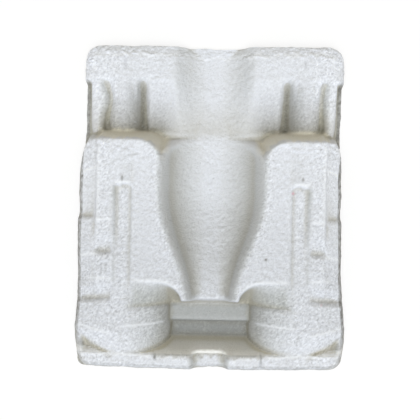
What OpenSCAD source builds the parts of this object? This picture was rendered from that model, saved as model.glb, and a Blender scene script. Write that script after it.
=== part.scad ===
// Moulded pulp bottle layer pad: one sheet of paper fibre, formed in relief.
// The top face carries one bottle in the middle trough, its base towards +Y.
// The underside covers two bottles that lie the other way round, one on each side.
// X runs across the pad, Y runs towards the low deck, and Z = 0 is the plane it rests on.

/* [Sheet] */
// Width of the sheet, across the bottles
sheet_w = 240; // [236:1:246]
// Length of the sheet, along the bottles
sheet_l = 294; // [290:1:300]
// Thickness of the pulp
wall = 3.5; // [2.5:0.5:4.5]
// Radius of the two corners at the low deck
deck_corner_r = 15; // [8:1:22]
// Radius of the two corners at the high rim
rim_corner_r = 11; // [6:1:18]
// Width of the band along the sides and the rim that rolls down
roll_w = 5; // [4:0.5:7]
// How far that band rolls down
roll_drop = 5; // [3:0.5:7]
// Width of the sloping lip around the low deck
lip_w = 10.5; // [8:0.5:13]
// How far the lip slopes down
lip_drop = 4; // [2:0.5:6]

/* [Bottle] */
// Radius of the bottle's body
bottle_r = 41; // [38:0.5:42]
// Radius of the bottle's neck
neck_r = 17; // [15:0.5:19]
// Room left around a bottle
bottle_room = 1.5; // [0.5:0.25:2.5]

/* [Middle trough] */
// Y at which the trough begins to narrow for the bottle's shoulder
shoulder_y = 10; // [5:1:15]
// Y at which the trough has narrowed to the neck
neck_y = -92; // [-96:1:-88]
// Half width of the flat land along the trough's floor
land_half = 8; // [6:1:10]
// Share of the trough's radius beyond which its round wall runs on straight
round_share = 0.93; // [0.9:0.01:0.95]

/* [Side bumps] */
// Distance of each bump's crest from the middle
bump_x = 79; // [77:0.5:81]
// Height of the crest
bump_z = 42; // [38:0.5:44]
// Radius of a bump's outer flank
flank_r = 75; // [65:1:85]
// Y at which the inner flank starts to fall towards the rim
inner_dome_y = -109; // [-112:0.5:-107]
// Y at which the outer flank starts to fall towards the rim
outer_dome_y = -114; // [-116:0.5:-112]
// How far a bump's crest falls before it meets the rim
dome_drop = 5; // [3:0.5:7]
// Height at which the raised lip between a dome and the rim's corner starts
corner_lip_z = 26; // [24:0.5:28]
// How much further its outer flank falls
flank_drop = 10; // [6:0.5:12]

/* [Pocket] */
// Y of the crease at which the trough ends and the pocket for the neck starts
crease_y = -92; // [-93:0.5:-91]
// Height of the shelf in the pocket
shelf_z = 11; // [8:0.5:14]
// Y of the shelf's edge, from which it drops to the pocket's floor
shelf_edge_y = -106.5; // [-106.5:0.5:-103]

/* [Shoulder blocks] */
// Y of the foot of the ledge in front of the blocks
ledge_foot_y = 68.5; // [66:0.5:71]
// Length of the ledge's slope
ledge_run = 13; // [10:0.5:15]
// Radius of a block's corner between the ledge and the trough
block_corner_r = 22; // [16:1:26]
// Width of the slot over the bump's crest
slot_w = 17.5; // [14:0.5:20]
// Y of the slot's closed end
slot_end_y = 16.5; // [12:0.5:20]
// Radius of the corners at that end
slot_corner_r = 5; // [3:0.5:7]
// How far a block's inner top leans down to the slot
inner_lean = 2.6; // [1:0.2:3]
// Width over which it leans
inner_lean_run = 22; // [16:1:26]
// Y at which a block's inner half starts to fall to the bump
inner_fall_y = -69.5; // [-72:0.5:-67]
// How much later the fall starts beside the trough
fall_bow = 16; // [10:0.5:18]
// Y at which a block's outer half starts to fall to the bump
outer_fall_y = -68; // [-69:0.5:-66]
// Length of that fall
outer_fall_run = 19; // [17:0.5:20]
// Y at which a block's outer half steps down to a lower level
outer_step_y = -16; // [-18:0.5:-14]
// Length of that step's slope
outer_step_run = 31; // [28:0.5:33]
// Height of that step
outer_step = 3; // [2:0.5:4]

/* [Side strips] */
// Distance of the strip's inner edge from the middle
strip_x = 101.5; // [99:0.5:104]
// Height of the strip's inner edge where it stands highest
strip_z = 43.5; // [41:0.5:45]
// How far the strip drops from its inner edge to its outer edge
strip_drop = 14; // [10:0.5:18]
// Y at which the strip's outer edge stands highest
strip_top_y = 31; // [27:0.5:35]
// Height of the strip's first slope, from there
strip_step = 1.5; // [0.5:0.5:3]
// Length of the first slope
strip_step_run = 46; // [40:0.5:50]
// Height of the strip's second slope
strip_fall = 3; // [1:0.5:5]
// Y at which the second slope starts
strip_fall_y = -45; // [-48:0.5:-42]
// Length of the second slope
strip_fall_run = 42; // [36:0.5:46]

/* [Folds] */
// Length of the short rise that ends each fold
fold_rise = 4; // [3:0.25:5]
// Depth of the fold along the crease
crease_fold = 3.2; // [2:0.2:4]
// Depth of the fold across a block's outer step
step_fold = 5; // [3:0.5:6]
// Depth of the fold below a block's outer fall
fall_fold = 5; // [3:0.5:6]
// Depth of the fold across a strip
strip_fold = 4.4; // [3:0.2:5]
// Y of the lowest line of the fold across a strip
strip_fold_y = -12; // [-12:0.5:-8]

/* [Low deck] */
// Height of the deck
deck_z = 18; // [16:0.5:21]
// Y at which the deck starts to fall towards the ledge
deck_y = 115; // [112:0.5:118]
// Height of the deck at the ledge
deck_foot_z = 7; // [5:0.5:9]
// Distance of each neck ridge from the middle
ridge_x = 83; // [81:0.5:85]
// Radius of a neck ridge
ridge_r = 15.5; // [14:0.5:16.5]
// Depth of the grooves along a neck ridge
groove_d = 12; // [8:0.5:13]
// Distance of a groove's deepest line from the ridge's flank
groove_off = 1.8; // [1:0.2:2.4]
// Half width of a groove
groove_half = 5; // [4:0.5:6]
// Distance of the rib along the side edge from the middle
rib_x = 106.5; // [105.5:0.5:107.5]
// Half width of that rib
rib_r = 6; // [5:0.5:6.5]
// Height of that rib
rib_z = 16; // [14:0.5:17]
// How much wider the rib is where it bulges
rib_bulge = 2.2; // [1:0.2:3]
// Y at which it bulges most
rib_bulge_y = 94; // [88:1:100]
// Distance of the low flange along the side edge from the middle
flange_x = 112; // [111:0.5:113]
// Y at which that flange ends
flange_end_y = 113; // [110:0.5:114]

/* [High rim] */
// Height of the rim
rim_z = 37; // [33:0.5:39]
// Width of the rim
rim_w = 13; // [11:0.5:16]
// Length of the slope between the rim and the floor behind it
rim_run = 12; // [10:0.5:15]

/* [Hidden] */

half_w = sheet_w / 2;
half_l = sheet_l / 2;
// The bottle in the trough has its axis level with the shoulder blocks
block_z = wall + bottle_r + bottle_room;
bump_clearance = 0.2;
bump_r = bottle_r + wall + bump_clearance;
slot_half = slot_w / 2;
slot_x = bump_x - slot_half;
ledge_top_y = ledge_foot_y - ledge_run;
ledge_slope = (block_z - deck_foot_z) / ledge_run;
rim_y = rim_w - half_l;
// How steeply the lip at the rim's corner rises from the hollow and from the dome
corner_lip_slope = 1.6;
// Lengths over which a slot's inner and outer walls are drawn out
inner_draft = 1.5;
outer_draft = 4;
// Where the start of a block's inner fall bends towards the rim, and over which width
fall_bow_x = 48;
fall_bow_r = 22;
// How much a block falls off along the slot, and how hollow its falls are
block_fall = 0.6;
scoop = 1.5;
// Share of the strip's width after which its upper end bends away from the ledge
strip_turn = 0.4;
// Lengths of the long sides of the folds, and how far each fold reaches across
crease_fold_run = 16;
crease_fold_ends = [26, 74];
step_fold_run = 14;
step_fold_ends = [87, 103];
fall_fold_run = 11;
fall_fold_ends = [87, 122];
strip_fold_run = 24;
strip_fold_ends = [101, 126];
// Lowest lines of the folds, a little before the slopes above them end
crease_fold_lead = 1;
fall_fold_lead = 1.5;
step_fold_y = outer_step_y - outer_step_run + fold_rise;
fall_fold_y = outer_fall_y - outer_fall_run + fall_fold_lead;
crease_fold_y = crease_y + crease_fold_lead;
// Length of the rib's bulge, and how square its section is
rib_bulge_run = 9;
rib_square = 0.7;
// Width of the steps down to the low flange
flange_step = 1.5;
flange_end_step = 2;
// Lengths over which one form is blended into the next
edge_blend = 9;
step_blend = 2;
crease_blend = 2;
deck_blend = 1.5;
rest_blend = 3;
// Share of the deck's fall after which its grooves have their full depth
groove_start = 0.125;
// Directions and inner ring in which the pulp's thickness is measured
measure_turn = 45;
measure_ring = 0.7;

function clamp(v) = min(1, max(0, v));
function ramp(v, start, end) = clamp((v - start) / (end - start));
function mix(p, q, share) = p + (q - p) * share;
function ease(share) = 0.5 - 0.5 * cos(180 * share);
function round_z(d, r) = sqrt(max(r * r - d * d, 0));
function blend_min(p, q, length) =
    let (near = max(length - abs(p - q), 0))
    min(p, q) - near * near / (4 * length);
function blend_max(p, q, length) = -blend_min(-p, -q, length);

// In all that follows, a is the distance from the middle, because the sheet is symmetric.

// Outline: a rectangle with round corners, and the distance from it towards the inside
function corner_r(y) = y > 0 ? deck_corner_r : rim_corner_r;
function half_width(y) =
    let (r = corner_r(y))
    half_w - r + round_z(max(abs(y) - half_l + r, 0), r);
function inside(a, y) =
    let (r = corner_r(y), u = a - half_w + r, v = abs(y) - half_l + r)
    r - norm([max(u, 0), max(v, 0)]) - min(max(u, v), 0);

// Middle trough: the under half of a bottle, with a flat land and straight upper walls
function trough_r(y) =
    mix(neck_r, bottle_r, ease(ramp(y, neck_y, shoulder_y))) + bottle_room;
function trough(a, y) =
    let (r = trough_r(y), s = round_share * r, below = round_z(s, r))
    a < s ? block_z - round_z(max(a - land_half, 0) * s / (s - land_half), r)
          : block_z - below + (a - s) * s / below;
function trough_edge(y) = trough_r(y) / round_share;

// Side bump: the back of the pocket for a bottle under the sheet
function bump(a, y) =
    let (inner = a < bump_x,
         r = inner ? bump_r : flank_r,
         drop = dome_drop + flank_drop * pow(ramp(a, bump_x, half_w), 2))
    bump_z - r + round_z(a - bump_x, r)
    - drop * ramp(y, inner ? inner_dome_y : outer_dome_y, rim_y);

// Pocket: the floor between the bumps, with a shelf that ends where the domes start to fall
function pocket(y) = mix(wall, shelf_z, ramp(y, inner_dome_y, shelf_edge_y));

// Shoulder block: its tops, the strip along its outer side, and its ledge with a round corner
function block_level(a, y) =
    let (lean = inner_lean * ramp(a, slot_x - inner_lean_run, slot_x) * ramp(a, bump_x, slot_x),
         step = outer_step * ramp(y, outer_step_y, outer_step_y - outer_step_run))
    block_z - block_fall * ramp(y, slot_end_y, inner_fall_y)
    - (a < bump_x ? lean * ramp(y, ledge_top_y, slot_end_y) : step);
function strip(a, y) =
    let (across = clamp((a - strip_x) / (half_w - strip_x)),
         top_y = mix(ledge_top_y, strip_top_y, pow(ramp(across, strip_turn, 1), 2)))
    strip_z - strip_drop * across
    - strip_step * ramp(y, strip_top_y, strip_top_y - strip_step_run)
    - strip_fall * ramp(y, strip_fall_y, strip_fall_y - strip_fall_run)
    - (block_z - deck_foot_z) * ramp(y, top_y, ledge_foot_y);
function beyond_ledge(a, y) =
    let (to_ledge = max(block_corner_r - ledge_top_y + y, 0),
         to_trough = block_corner_r * (1 - clamp((a - trough_edge(y)) / block_corner_r)))
    norm([to_ledge, to_trough]) - block_corner_r;
function block(a, y) =
    let (level = a < strip_x ? block_level(a, y) : min(block_level(a, y), strip(a, y)))
    blend_min(level, block_z - ledge_slope * beyond_ledge(a, y), step_blend);

// Share of the block at a place: none in the slot over the crest, nor beyond its falls
function slot_share(a, y) =
    let (u = abs(a - bump_x) - slot_half + slot_corner_r,
         v = y - slot_end_y + slot_corner_r,
         off = norm([max(u, 0), max(v, 0)]) + min(max(u, v), 0) - slot_corner_r)
    clamp(-off / (a < bump_x ? inner_draft : outer_draft));
function inner_start_y(a) =
    inner_fall_y - fall_bow * (1 - round_z(clamp((fall_bow_x - a) / fall_bow_r), 1));
function block_share(a, y) =
    let (fall = a < bump_x ? ramp(y, inner_start_y(a), crease_y)
                           : ramp(y, outer_fall_y, outer_fall_y - outer_fall_run))
    pow(1 - fall, scoop) * (1 - slot_share(a, y));

// Folds: each deepens slowly towards the rim and ends in a short rise, over a width like a lens
function fold(y, low_y, run, depth) =
    depth * ramp(y, low_y + run, low_y) * (1 - ramp(y, low_y, low_y - fold_rise));
function lens(a, ends) =
    round_z((2 * a - ends[0] - ends[1]) / (ends[1] - ends[0]), 1);
function folds(a, y) =
    fold(y, crease_fold_y, crease_fold_run, crease_fold) * lens(a, crease_fold_ends)
    + fold(y, step_fold_y, step_fold_run, step_fold) * lens(a, step_fold_ends)
    + fold(y, fall_fold_y, fall_fold_run, fall_fold) * lens(a, fall_fold_ends)
    + fold(y, strip_fold_y, strip_fold_run, strip_fold) * lens(a, strip_fold_ends);

// Low deck: its fall to the ledge, the neck ridges, the side ribs and the low flanges
function groove(a, fall) =
    let (off = abs(abs(a - ridge_x) - ridge_r - groove_off))
    groove_d * clamp(1 - off / groove_half) * min(1, fall / groove_start);
function rib(a, y) =
    let (half = rib_r + rib_bulge * exp(-pow((y - rib_bulge_y) / rib_bulge_run, 2)))
    rib_z * pow(round_z((a - rib_x) / half, 1), rib_square);
function deck(a, y) =
    let (fall = ramp(y, deck_y, ledge_foot_y),
         floor_z = max(mix(deck_z, deck_foot_z, fall) - groove(a, fall), wall),
         ridge = deck_z - ridge_r + round_z(a - ridge_x, ridge_r),
         band = blend_max(floor_z, max(ridge, rib(a, y)), deck_blend),
         flange = ramp(a, flange_x, flange_x + flange_step)
                  * ramp(y, flange_end_y, flange_end_y - flange_end_step))
    mix(band, wall, flange);

// High rim: its level, its slope down to the floor, and the rest for the neck
function rim(a, y) =
    let (slope_z = rim_z - (y - rim_y) * (rim_z - wall) / rim_run)
    blend_min(min(slope_z, rim_z), trough(a, neck_y), rest_blend);

// Lip along the side edge that closes the hollow between a dome and the rim
function corner_lip(a, y) =
    mix(corner_lip_z, rim_z, ramp(y, outer_dome_y, rim_y))
    - corner_lip_slope * (max(half_w - roll_w - a, 0) + max(y - outer_dome_y, 0));

// Height of the sheet's upper face
function rolled(a, y) =
    let (roll = roll_drop * pow(clamp(1 - inside(a, y) / roll_w), 2),
         lip = lip_drop * clamp(1 - inside(a, y) / lip_w))
    mix(roll, lip, ramp(y, flange_end_y, deck_y + lip_w));
function upper_z(x, y) =
    let (a = abs(x),
         relief = blend_max(block(a, y), deck(a, y), crease_blend),
         cradle = blend_min(relief, trough(a, y), edge_blend),
         body = mix(max(bump(a, y), pocket(y)), cradle, block_share(a, y)) - folds(a, y),
         end = max(rim(a, y), corner_lip(a, y)),
         whole = blend_max(body, end, crease_blend))
    max(wall, whole - rolled(a, y));

// Height of the under face: as deep as a ball of the pulp's thickness sinks from above
ball = concat([[0, 0]],
              [for (share = [measure_ring, 1], turn = [measure_turn:measure_turn:360])
                  share * wall * [cos(turn), sin(turn)]]);
function under_z(x, y) =
    min([for (p = ball) upper_z(x + p[0], y + p[1]) - round_z(norm(p), wall)]);

// Grid of points: its lines follow the edges of the forms, with some cells between two edges
function spread(stops, cells) =
    concat([for (i = [0:len(cells) - 1], j = [0:cells[i] - 1])
                mix(stops[i], stops[i + 1], j / cells[i])],
           [stops[len(cells)]]);

y_stops = [half_l, half_l - lip_w, deck_y, mix(deck_y, ledge_foot_y, groove_start), ledge_foot_y,
           ledge_top_y, strip_top_y, slot_end_y, slot_end_y - slot_corner_r, strip_fold_y,
           strip_fold_y - fold_rise, step_fold_y, step_fold_y - fold_rise, inner_fall_y,
           fall_fold_y, fall_fold_y - fold_rise, crease_fold_y - fold_rise, shelf_edge_y,
           inner_dome_y, rim_y + rim_run, rim_y, roll_w - half_l, -half_l];
y_cells = [2, 3, 2, 6, 3, 4, 1, 2, 3, 1, 4, 1, 3, 4, 1, 2, 2, 1, 3, 2, 1, 2];
y_lines = spread(y_stops, y_cells);

// Across, the lines move from the neck ridges to the slots and from the trough to the pocket
foot_x = bump_x - round_z(bump_r - bump_z + wall, bump_r);
function x_stops(y) =
    let (up = ramp(y, slot_end_y, ledge_top_y),
         down = ramp(y, inner_fall_y, crease_y),
         shoulder = edge_blend / 2,
         valley = ridge_r + groove_off)
    [0, land_half,
     mix(round_share * trough_r(y), foot_x - shoulder, down),
     mix(trough_edge(y), foot_x, down) + shoulder,
     mix(slot_x, ridge_x - valley - groove_half, up),
     mix(slot_x + inner_draft, ridge_x - valley, up),
     mix(bump_x + slot_half - outer_draft, ridge_x + ridge_r / 2, up),
     mix(bump_x + slot_half, ridge_x + valley, up),
     mix(strip_x, rib_x, up),
     mix(half_w - roll_w, flange_x, up),
     mix(half_w - roll_w / 2, flange_x + flange_step, up),
     half_w];
x_cells = [1, 5, 2, 4, 1, 5, 2, 3, 2, 1, 1];
columns = len(spread(x_stops(0), x_cells)) - 1;
// Cells from the middle to the slot: the edges there run towards the deck as they run outwards
inner_cells = x_cells[0] + x_cells[1] + x_cells[2] + x_cells[3];
function rises(column) =
    (column < columns) != (column >= columns - inner_cells && column < columns + inner_cells);

module pulp_pad() {
    nx = 2 * columns + 1;
    ny = len(y_lines);
    count = nx * ny;
    plan = [for (y = y_lines)
            let (half_row = spread(x_stops(y), x_cells) * half_width(y) / half_w)
            each [for (i = [-columns:columns]) [sign(i) * half_row[abs(i)], y]]];
    points = concat([for (p = plan) [p[0], p[1], upper_z(p[0], p[1])]],
                    [for (p = plan) [p[0], p[1], under_z(p[0], p[1])]]);
    upper_faces = [for (row = [0:ny - 2], column = [0:nx - 2])
                   let (p = row * nx + column, q = p + 1, s = p + nx, r = s + 1)
                   each rises(column) ? [[p, q, s], [q, r, s]] : [[p, q, r], [p, r, s]]];
    under_faces = [for (f = upper_faces) [f[2] + count, f[1] + count, f[0] + count]];
    edge = concat([for (column = [0:nx - 2]) column],
                  [for (row = [0:ny - 2]) row * nx + nx - 1],
                  [for (column = [nx - 1:-1:1]) (ny - 1) * nx + column],
                  [for (row = [ny - 1:-1:1]) row * nx]);
    edge_faces = [for (i = [0:len(edge) - 1])
                  let (p = edge[i], q = edge[(i + 1) % len(edge)])
                  each [[q, p, p + count], [q, p + count, q + count]]];
    color([0.87, 0.87, 0.85])
        polyhedron(points, concat(upper_faces, under_faces, edge_faces));
}

pulp_pad();
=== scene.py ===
# %% [markdown]
# # A moulded pulp layer pad
# The pad is one sheet of paper fibre. Wet pulp is sucked onto a mesh mould, pressed lightly and
# dried, so every form on it is a fold of the same sheet: nothing is joined on.
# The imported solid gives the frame, and this lesson dresses it with the sheet as it really looks.

# %% Load the frame
import math

import bpy
import numpy as np
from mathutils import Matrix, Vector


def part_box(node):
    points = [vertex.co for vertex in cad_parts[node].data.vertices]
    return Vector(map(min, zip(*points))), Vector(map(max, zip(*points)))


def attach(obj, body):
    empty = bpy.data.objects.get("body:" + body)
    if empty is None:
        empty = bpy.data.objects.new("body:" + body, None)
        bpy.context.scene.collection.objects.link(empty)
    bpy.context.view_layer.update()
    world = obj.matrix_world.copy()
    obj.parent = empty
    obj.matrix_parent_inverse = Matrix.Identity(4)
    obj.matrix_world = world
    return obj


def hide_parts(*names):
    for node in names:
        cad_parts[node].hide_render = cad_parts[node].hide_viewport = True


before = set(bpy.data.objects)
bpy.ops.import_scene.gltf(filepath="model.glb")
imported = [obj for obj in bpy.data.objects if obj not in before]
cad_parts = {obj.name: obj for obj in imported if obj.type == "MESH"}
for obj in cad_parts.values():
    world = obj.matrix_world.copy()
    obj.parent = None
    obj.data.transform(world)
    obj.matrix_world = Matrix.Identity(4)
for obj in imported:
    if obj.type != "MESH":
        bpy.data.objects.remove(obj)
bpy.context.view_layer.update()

# %% [markdown]
# ## The sheet as a height field
# Seen from above, a moulded sheet has one height at each place, because it has to leave its mould.
# It could be sculpted by hand, or cut from blocks with booleans. A height field is better here:
# each form is a small formula of x and y, and the forms are joined by taking the larger or the
# smaller of two heights. All lengths are in millimetres until the mesh is made.

# %% A grid of places, one millimetre apart
MM = 0.001
CELL = 1.0
half_w, half_l, pad_h = (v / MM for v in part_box("pulp_pad")[1])
columns = round(2 * half_w / CELL)
rows = round(2 * half_l / CELL)
flat_x, flat_y = np.meshgrid(np.linspace(-half_w, half_w, columns + 1),
                             np.linspace(-half_l, half_l, rows + 1))
print("grid:", flat_x.shape, "points, sheet", 2 * half_w, "by", 2 * half_l, "by", pad_h, "mm")

# %% [markdown]
# Six small functions are enough to describe nearly all of the sheet. They work on whole arrays,
# so one line of numpy shapes all the points at once.


# %% Helpers for heights
def ramp(v, start, end):
    """Goes from 0 at start to 1 at end in a straight line, and stays level beyond both."""
    return np.clip((v - start) / (end - start), 0, 1)


def mix(p, q, share):
    """Goes from p to q as share goes from 0 to 1."""
    return p + (q - p) * share


def bell(v, middle, width):
    """A soft hump that is 1 at the middle: exp(-((v - middle) / width)^2)."""
    return np.exp(-((v - middle) / width) ** 2)


def arc(d, r):
    """Height of a circle of radius r over its middle line, at a distance d: root of r^2 - d^2."""
    return np.sqrt(np.maximum(r * r - d * d, 0))


def lower(p, q, length):
    """The smaller of two heights, with a parabola over the length in which they are close."""
    near = np.maximum(length - np.abs(p - q), 0)
    return np.minimum(p, q) - near * near / (4 * length)


def higher(p, q, length):
    """The larger of two heights, blended in the same way."""
    return -lower(-p, -q, length)


print("ramp from 2 to 4, at 3:", ramp(3, 2, 4))

# %% [markdown]
# ## Outline
# The sheet is a rectangle with round corners, larger ones at the low deck. Cutting the corners off
# a square grid would leave steps. Instead the grid's corner squares are bent onto quarter discs,
# with the elliptical mapping u * sqrt(1 - v^2 / 2), which leaves the rest of the grid in place.
# One corner at the rim is torn, so it is bent less than its neighbour.

# %% Bend the grid's corners
deck_corner_r, rim_corner_r, torn_corner_r = 15.0, 11.0, 6.0
corner_r = np.where(flat_y > 0, deck_corner_r, np.where(flat_x < 0, torn_corner_r, rim_corner_r))


def bend_corner(along, other):
    """Length along a corner square, from 0 to 1, once the square is bent onto a quarter disc."""
    return along * np.sqrt(1 - other * other / 2)


corner_u = np.maximum(np.abs(flat_x) - half_w + corner_r, 0) / corner_r
corner_v = np.maximum(np.abs(flat_y) - half_l + corner_r, 0) / corner_r
x = flat_x + np.sign(flat_x) * corner_r * (bend_corner(corner_u, corner_v) - corner_u)
y = flat_y + np.sign(flat_y) * corner_r * (bend_corner(corner_v, corner_u) - corner_v)
across = np.abs(x)
print("corners bent by up to", round(float(np.abs(x - flat_x).max()), 2), "mm")

# %% [markdown]
# Edges roll down, and painted shade and highlights sit near them, so later cells ask how far a
# place is from the outline.


# %% Distance from the outline
def inside(a, y):
    """Distance from the outline towards the middle of the sheet."""
    r = np.where(y > 0, deck_corner_r, rim_corner_r)
    u, v = a - half_w + r, np.abs(y) - half_l + r
    return r - np.hypot(np.maximum(u, 0), np.maximum(v, 0)) - np.minimum(np.maximum(u, v), 0)


from_edge = inside(across, y)
print("farthest place from the outline:", round(float(from_edge.max()), 1), "mm")

# %% [markdown]
# ## Middle trough
# The trough is the lower half of a bottle: a circle whose radius eases from the body to the neck.
# A lathe profile would give a full bottle to cut away. The formula needs only the half in use, and
# its upper walls can go on straight, so that the sheet leaves the mould.

# %% Middle trough
wall = 3.5
bottle_r, neck_r, bottle_room = 41.0, 17.0, 1.5
shoulder_y, neck_y, land_half, round_share = 10.0, -92.0, 8.0, 0.93
block_z = wall + bottle_r + bottle_room


def trough_r(y):
    """Radius of the trough, easing from the body to the neck with half a cosine."""
    ease = 0.5 - 0.5 * np.cos(np.pi * ramp(y, neck_y, shoulder_y))
    return mix(neck_r, bottle_r, ease) + bottle_room


def brim(y):
    """Distance from the middle at which the trough's wall reaches the level of the blocks."""
    return trough_r(y) / round_share


def trough(a, y):
    """A circle round the bottle's axis with a flat land, going on as its tangent near the top."""
    r = trough_r(y)
    s = round_share * r
    below = arc(s, r)
    bowl = block_z - arc(np.maximum(a - land_half, 0) * s / (s - land_half), r)
    return np.where(a < s, bowl, block_z - below + (a - s) * s / below)


print("trough from", 2 * (neck_r + bottle_room), "to", 2 * (bottle_r + bottle_room), "mm wide")

# %% [markdown]
# ## Side bumps
# The bumps beside the trough are the backs of two bottles of the layer below. They end in domes at
# the rim. Between them lies the pocket for the neck: a shelf, a drop, and a floor.

# %% Side bumps and the pocket between them
bump_room = 0.2
bump_x, bump_z, bump_r = 79.0, 42.0, bottle_r + wall + bump_room
flank_r, flank_drop = 75.0, 10.0
inner_dome_y, outer_dome_y, dome_drop = -109.0, -114.0, 5.0
crease_y, shelf_z, shelf_edge_y = -92.0, 11.0, -106.5
rim_w = 13.0
rim_y = rim_w - half_l


def bump(a, y):
    """A half cylinder along y that falls off towards the rim, later on its outer flank."""
    r = np.where(a < bump_x, bump_r, flank_r)
    fall_y = np.where(a < bump_x, inner_dome_y, outer_dome_y)
    drop = dome_drop + flank_drop * ramp(a, bump_x, half_w) ** 2
    return bump_z - r + arc(a - bump_x, r) - drop * ramp(y, fall_y, rim_y)


def pocket(y):
    """The floor between the bumps, with a shelf that ends where the domes start to fall."""
    return mix(wall, shelf_z, ramp(y, inner_dome_y, shelf_edge_y))


print("bumps", bump_z, "mm high, pocket shelf", shelf_z, "mm")

# %% [markdown]
# ## Shoulder blocks
# The blocks stand between trough and bumps, level with the bottle's axis, and carry the next layer.
# Their tops step down along the pad, a strip drops to each side edge, and a steep ledge with a
# round corner leads down to the deck.

# %% Shoulder blocks
ledge_foot_y, ledge_run, deck_foot_z = 68.5, 13.0, 7.0
ledge_top_y = ledge_foot_y - ledge_run
ledge_slope = (block_z - deck_foot_z) / ledge_run
block_corner_r, step_blend = 22.0, 2.0
slot_half, slot_end_y = 8.75, 16.5
inner_lean, inner_lean_run = 2.6, 22.0
inner_fall_y, block_fall = -69.5, 0.6
outer_step_y, outer_step_run, outer_step = -16.0, 31.0, 3.0
strip_x, strip_z, strip_drop, strip_turn = 101.5, 43.5, 14.0, 0.4
strip_top_y, strip_step_run, strip_step = 31.0, 46.0, 1.5
strip_fall_y, strip_fall_run, strip_fall = -45.0, 42.0, 3.0


def strip(a, y):
    """The strip along the side: it drops outwards, steps down twice and ends above the ledge."""
    side = np.clip((a - strip_x) / (half_w - strip_x), 0, 1)
    top_y = mix(ledge_top_y, strip_top_y, ramp(side, strip_turn, 1) ** 2)
    return (strip_z - strip_drop * side
            - strip_step * ramp(y, strip_top_y, strip_top_y - strip_step_run)
            - strip_fall * ramp(y, strip_fall_y, strip_fall_y - strip_fall_run)
            - (block_z - deck_foot_z) * ramp(y, top_y, ledge_foot_y))


def beyond_ledge(a, y):
    """Distance past the upper edge of the ledge, measured round the block's corner."""
    to_ledge = np.maximum(block_corner_r - (ledge_top_y - y), 0)
    to_trough = block_corner_r - np.clip(a - brim(y), 0, block_corner_r)
    return np.hypot(to_ledge, to_trough) - block_corner_r


def block(a, y):
    """Level tops that lean and step down along y, joined with the strip and the ledge's slope."""
    slot_x = bump_x - slot_half
    lean = inner_lean * ramp(a, slot_x - inner_lean_run, slot_x) * ramp(a, bump_x, slot_x)
    step = outer_step * ramp(y, outer_step_y, outer_step_y - outer_step_run)
    level = (block_z - block_fall * ramp(y, slot_end_y, inner_fall_y)
             - np.where(a < bump_x, lean * ramp(y, ledge_top_y, slot_end_y), step))
    level = np.where(a < strip_x, level, np.minimum(level, strip(a, y)))
    return lower(level, block_z - ledge_slope * beyond_ledge(a, y), step_blend)


print("blocks", block_z, "mm high, ledge", round(math.degrees(math.atan(ledge_slope))), "degrees")

# %% [markdown]
# A slot with a round end runs over the crest of each bump and splits its block in two. The blocks
# end in hollow falls towards the bumps. Cutting both with booleans would leave sharp edges, so they
# are written as the share of the block that is left at a place.

# %% Slots and falls
slot_r, inner_draft, outer_draft = 5.0, 1.5, 4.0
fall_bow, fall_bow_x, fall_bow_r = 16.0, 48.0, 22.0
outer_fall_y, outer_fall_run, scoop = -68.0, 19.0, 1.5


def slot_share(a, y):
    """How far a place is inside the slot's round outline, as a share of the wall's draft."""
    u = np.abs(a - bump_x) - slot_half + slot_r
    v = y - slot_end_y + slot_r
    off = np.hypot(np.maximum(u, 0), np.maximum(v, 0)) + np.minimum(np.maximum(u, v), 0) - slot_r
    return np.clip(-off / np.where(a < bump_x, inner_draft, outer_draft), 0, 1)


def inner_start_y(a):
    """Where the inner fall starts: a straight line that bends towards the rim in a quarter arc."""
    return inner_fall_y - fall_bow * (1 - arc(np.clip((fall_bow_x - a) / fall_bow_r, 0, 1), 1))


def block_share(a, y):
    """How much of the block there is: none in the slot, nor beyond the falls towards the bump."""
    inner = ramp(y, inner_start_y(a), crease_y)
    outer = ramp(y, outer_fall_y, outer_fall_y - outer_fall_run)
    return (1 - np.where(a < bump_x, inner, outer)) ** scoop * (1 - slot_share(a, y))


print("slots", 2 * slot_half, "mm wide")

# %% [markdown]
# Across the blocks run folds that let the sheet give when a carton is dropped. Each one is a long
# gentle fall that ends in a short rise, like a saw's tooth. A displacement texture could draw them,
# but a formula puts each one exactly where the forms beside it end.

# %% Saw-tooth folds
fold_rise = 4.0
# Lowest line, length of the fall, depth, inner and outer end, and tilt of each fold
fold_shapes = [(crease_y + 1, 16.0, 3.2, 26.0, 74.0, 0.05),
               (outer_step_y - 27, 14.0, 5.0, 87.0, 103.0, 0.0),
               (outer_fall_y - 17.56, 11.0, 5.0, 87.0, 122.0, 0.12),
               (-12.0, 24.0, 4.4, 101.0, 126.0, 0.0)]


def fold(y, low_y, run, depth):
    """A dip that deepens along the run towards -y, and closes again over the short rise."""
    return depth * ramp(y, low_y + run, low_y) * (1 - ramp(y, low_y, low_y - fold_rise))


def lens(a, start, end):
    """Depth of a fold across the sheet: half an ellipse from one end to the other."""
    return arc(np.clip((2 * a - start - end) / (end - start), -1, 1), 1)


def folds(a, y):
    """All dips together, each over its own width."""
    return sum(fold(y + tilt * (a - (start + end) / 2), low_y, run, depth) * lens(a, start, end)
               for low_y, run, depth, start, end, tilt in fold_shapes)


print("folds up to", round(float(folds(across, y).max()), 2), "mm deep")

# %% [markdown]
# ## Low deck
# The deck carries two round ridges, on which the necks of the next layer lie, with grooves beside
# them. Bulged ribs stiffen its sides, and outside them runs a low flange.

# %% Low deck
deck_z, deck_y, deck_blend = 18.0, 115.0, 1.5
ridge_x, ridge_r = 83.0, 15.5
groove_d, groove_off, groove_half, groove_start = 12.0, 1.8, 5.0, 0.125
rib_x, rib_r, rib_z, rib_square = 106.5, 6.0, 16.0, 0.7
rib_bulge, rib_bulge_y, rib_bulge_run = 2.2, 94.0, 9.0
flange_x, flange_end_y, flange_step, flange_end_step = 112.0, 113.0, 1.5, 2.0


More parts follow.
